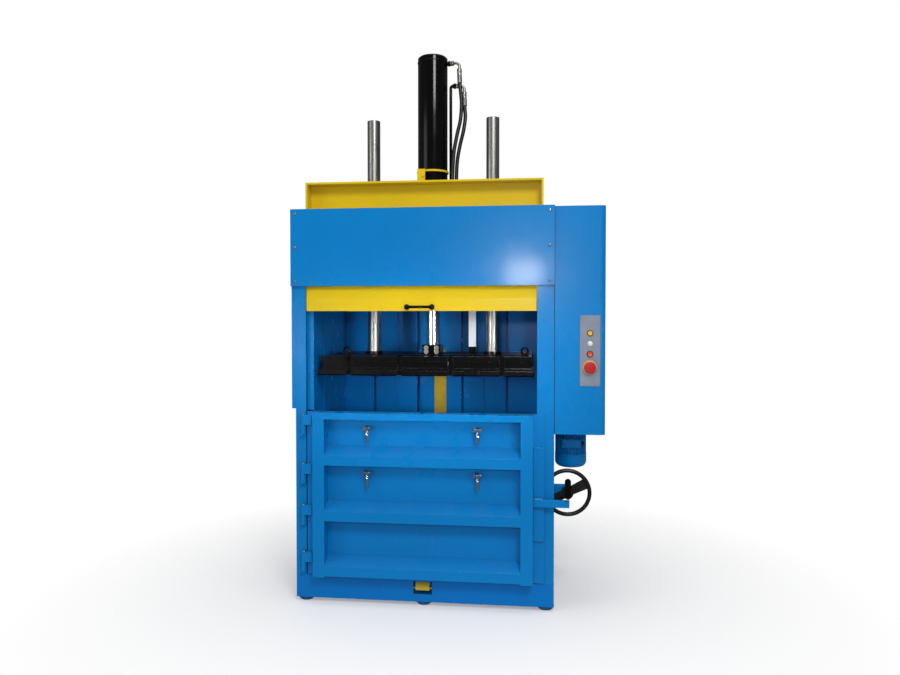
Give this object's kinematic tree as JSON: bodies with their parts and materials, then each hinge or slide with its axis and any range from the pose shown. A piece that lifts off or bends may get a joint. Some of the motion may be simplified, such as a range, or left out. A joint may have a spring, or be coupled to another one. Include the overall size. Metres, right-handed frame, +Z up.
{
  "type": "recycling baler",
  "caption": "Upright hydraulic baler: a ram with guide rods presses waste in a steel chamber behind a sliding loading gate and a hinged, handwheel-locked bale door.",
  "frame": {"origin": "middle of the footprint box, on the floor under the foot pads", "axes": "+Z up along the ram, -Y towards the operator at the door, +X towards the control cabinet"},
  "size_m": [1.565, 0.8, 2.846],
  "materials": {
    "blue_paint": "gloss",
    "deep_blue_paint": "gloss",
    "yellow_paint": "gloss",
    "black_paint": "gloss",
    "black_plastic": "satin",
    "foot_rubber": "matte",
    "hose_rubber": "satin",
    "bare_steel": "satin",
    "rod_chrome": "polished",
    "grey_plate": "satin",
    "power_pack": "satin",
    "strap_webbing": "woven",
    "lamp_lens": "gloss",
    "start_yellow": "gloss",
    "stop_orange": "gloss",
    "emergency_red": "gloss"
  },
  "bodies": {
    "frame": {"base_frame": "blue_paint", "front_sill": "deep_blue_paint", "floor_plate": "deep_blue_paint", "feet": "foot_rubber", "left_front_post": "blue_paint", "right_front_post": "blue_paint", "rear_posts": "blue_paint", "left_side_wall": "deep_blue_paint", "right_side_wall": "deep_blue_paint", "back_wall": "deep_blue_paint", "front_header": "deep_blue_paint", "gate_guides": "blue_paint", "crossbeams": "yellow_paint", "cylinder_carrier": "yellow_paint", "cylinder_barrel": "black_paint", "cylinder_gland": "black_paint", "cylinder_band": "yellow_paint", "guide_bushes": "black_paint", "hydraulic_pipework": "black_paint", "upper_hose": "hose_rubber", "lower_hose": "hose_rubber", "fascia": "blue_paint", "fascia_screws": "bare_steel", "left_side_cover": "blue_paint", "cabinet_shell": "blue_paint", "cabinet_cover": "blue_paint", "control_plate": "grey_plate", "indicator_lamp": "lamp_lens", "oil_tank": "power_pack", "pump_unit": "power_pack", "motor_housing": "blue_paint", "motor_cowl": "blue_paint", "lock_bracket": "blue_paint", "frame_hinges": "blue_paint", "ejector_strap": "strap_webbing", "strap_pins": "bare_steel"},
    "ram": {"platen_plate": "black_paint", "platen_beams": "black_paint", "rod_coupling": "black_paint", "coupling_bolts": "bare_steel", "guide_rods": "bare_steel", "guide_collars": "black_paint", "piston_rod": "rod_chrome", "trip_bar": "bare_steel"},
    "gate": {"gate_panel": "yellow_paint", "gate_handle": "black_paint"},
    "door": {"door_skin": "blue_paint", "door_frame": "blue_paint", "lock_arm": "blue_paint", "hook_brackets": "bare_steel", "door_hinges": "blue_paint"},
    "hook_upper_left": {"upper_left_hook": "bare_steel"},
    "hook_upper_right": {"upper_right_hook": "bare_steel"},
    "hook_lower_left": {"lower_left_hook": "bare_steel"},
    "hook_lower_right": {"lower_right_hook": "bare_steel"},
    "lock": {"handwheel": "black_plastic", "lock_spindle": "black_paint"},
    "start": {"start_button": "start_yellow"},
    "stop": {"stop_button": "stop_orange"},
    "emergency": {"emergency_stop": "emergency_red"}
  },
  "joints": [
    {"name": "ram_stroke", "type": "slide", "parent": "frame", "child": "ram", "axis": [0, 0, 1], "range_m": [-0.59, 0.32]},
    {"name": "gate_lift", "type": "slide", "parent": "frame", "child": "gate", "axis": [0, 0, 1], "range_m": [-0.495, 0]},
    {"name": "door_swing", "type": "hinge", "parent": "frame", "child": "door", "pos_m": [-0.7185, -0.356, 0.145], "axis": [0, 0, 1], "range_deg": [-115, 0]},
    {"name": "hook_upper_left_swing", "type": "hinge", "parent": "door", "child": "hook_upper_left", "pos_m": [-0.3895, -0.358, 0.893], "axis": [1, 0, 0], "range_deg": [-120, 10]},
    {"name": "hook_upper_right_swing", "type": "hinge", "parent": "door", "child": "hook_upper_right", "pos_m": [0.1645, -0.358, 0.893], "axis": [1, 0, 0], "range_deg": [-120, 10]},
    {"name": "hook_lower_left_swing", "type": "hinge", "parent": "door", "child": "hook_lower_left", "pos_m": [-0.3895, -0.358, 0.668], "axis": [1, 0, 0], "range_deg": [-120, 10]},
    {"name": "hook_lower_right_swing", "type": "hinge", "parent": "door", "child": "hook_lower_right", "pos_m": [0.1645, -0.358, 0.668], "axis": [1, 0, 0], "range_deg": [-120, 10]},
    {"name": "lock_turn", "type": "hinge", "parent": "frame", "child": "lock", "pos_m": [0.6025, -0.34, 0.585], "axis": [0, 1, 0], "range_deg": [0, 180]},
    {"name": "start_press", "type": "slide", "parent": "frame", "child": "start", "axis": [0, 1, 0], "range_m": [0, 0.005], "stiffness_N_per_m": 900},
    {"name": "stop_press", "type": "slide", "parent": "frame", "child": "stop", "axis": [0, 1, 0], "range_m": [0, 0.005], "stiffness_N_per_m": 900},
    {"name": "emergency_press", "type": "slide", "parent": "frame", "child": "emergency", "axis": [0, 1, 0], "range_m": [0, 0.005], "stiffness_N_per_m": 1500}
  ]
}
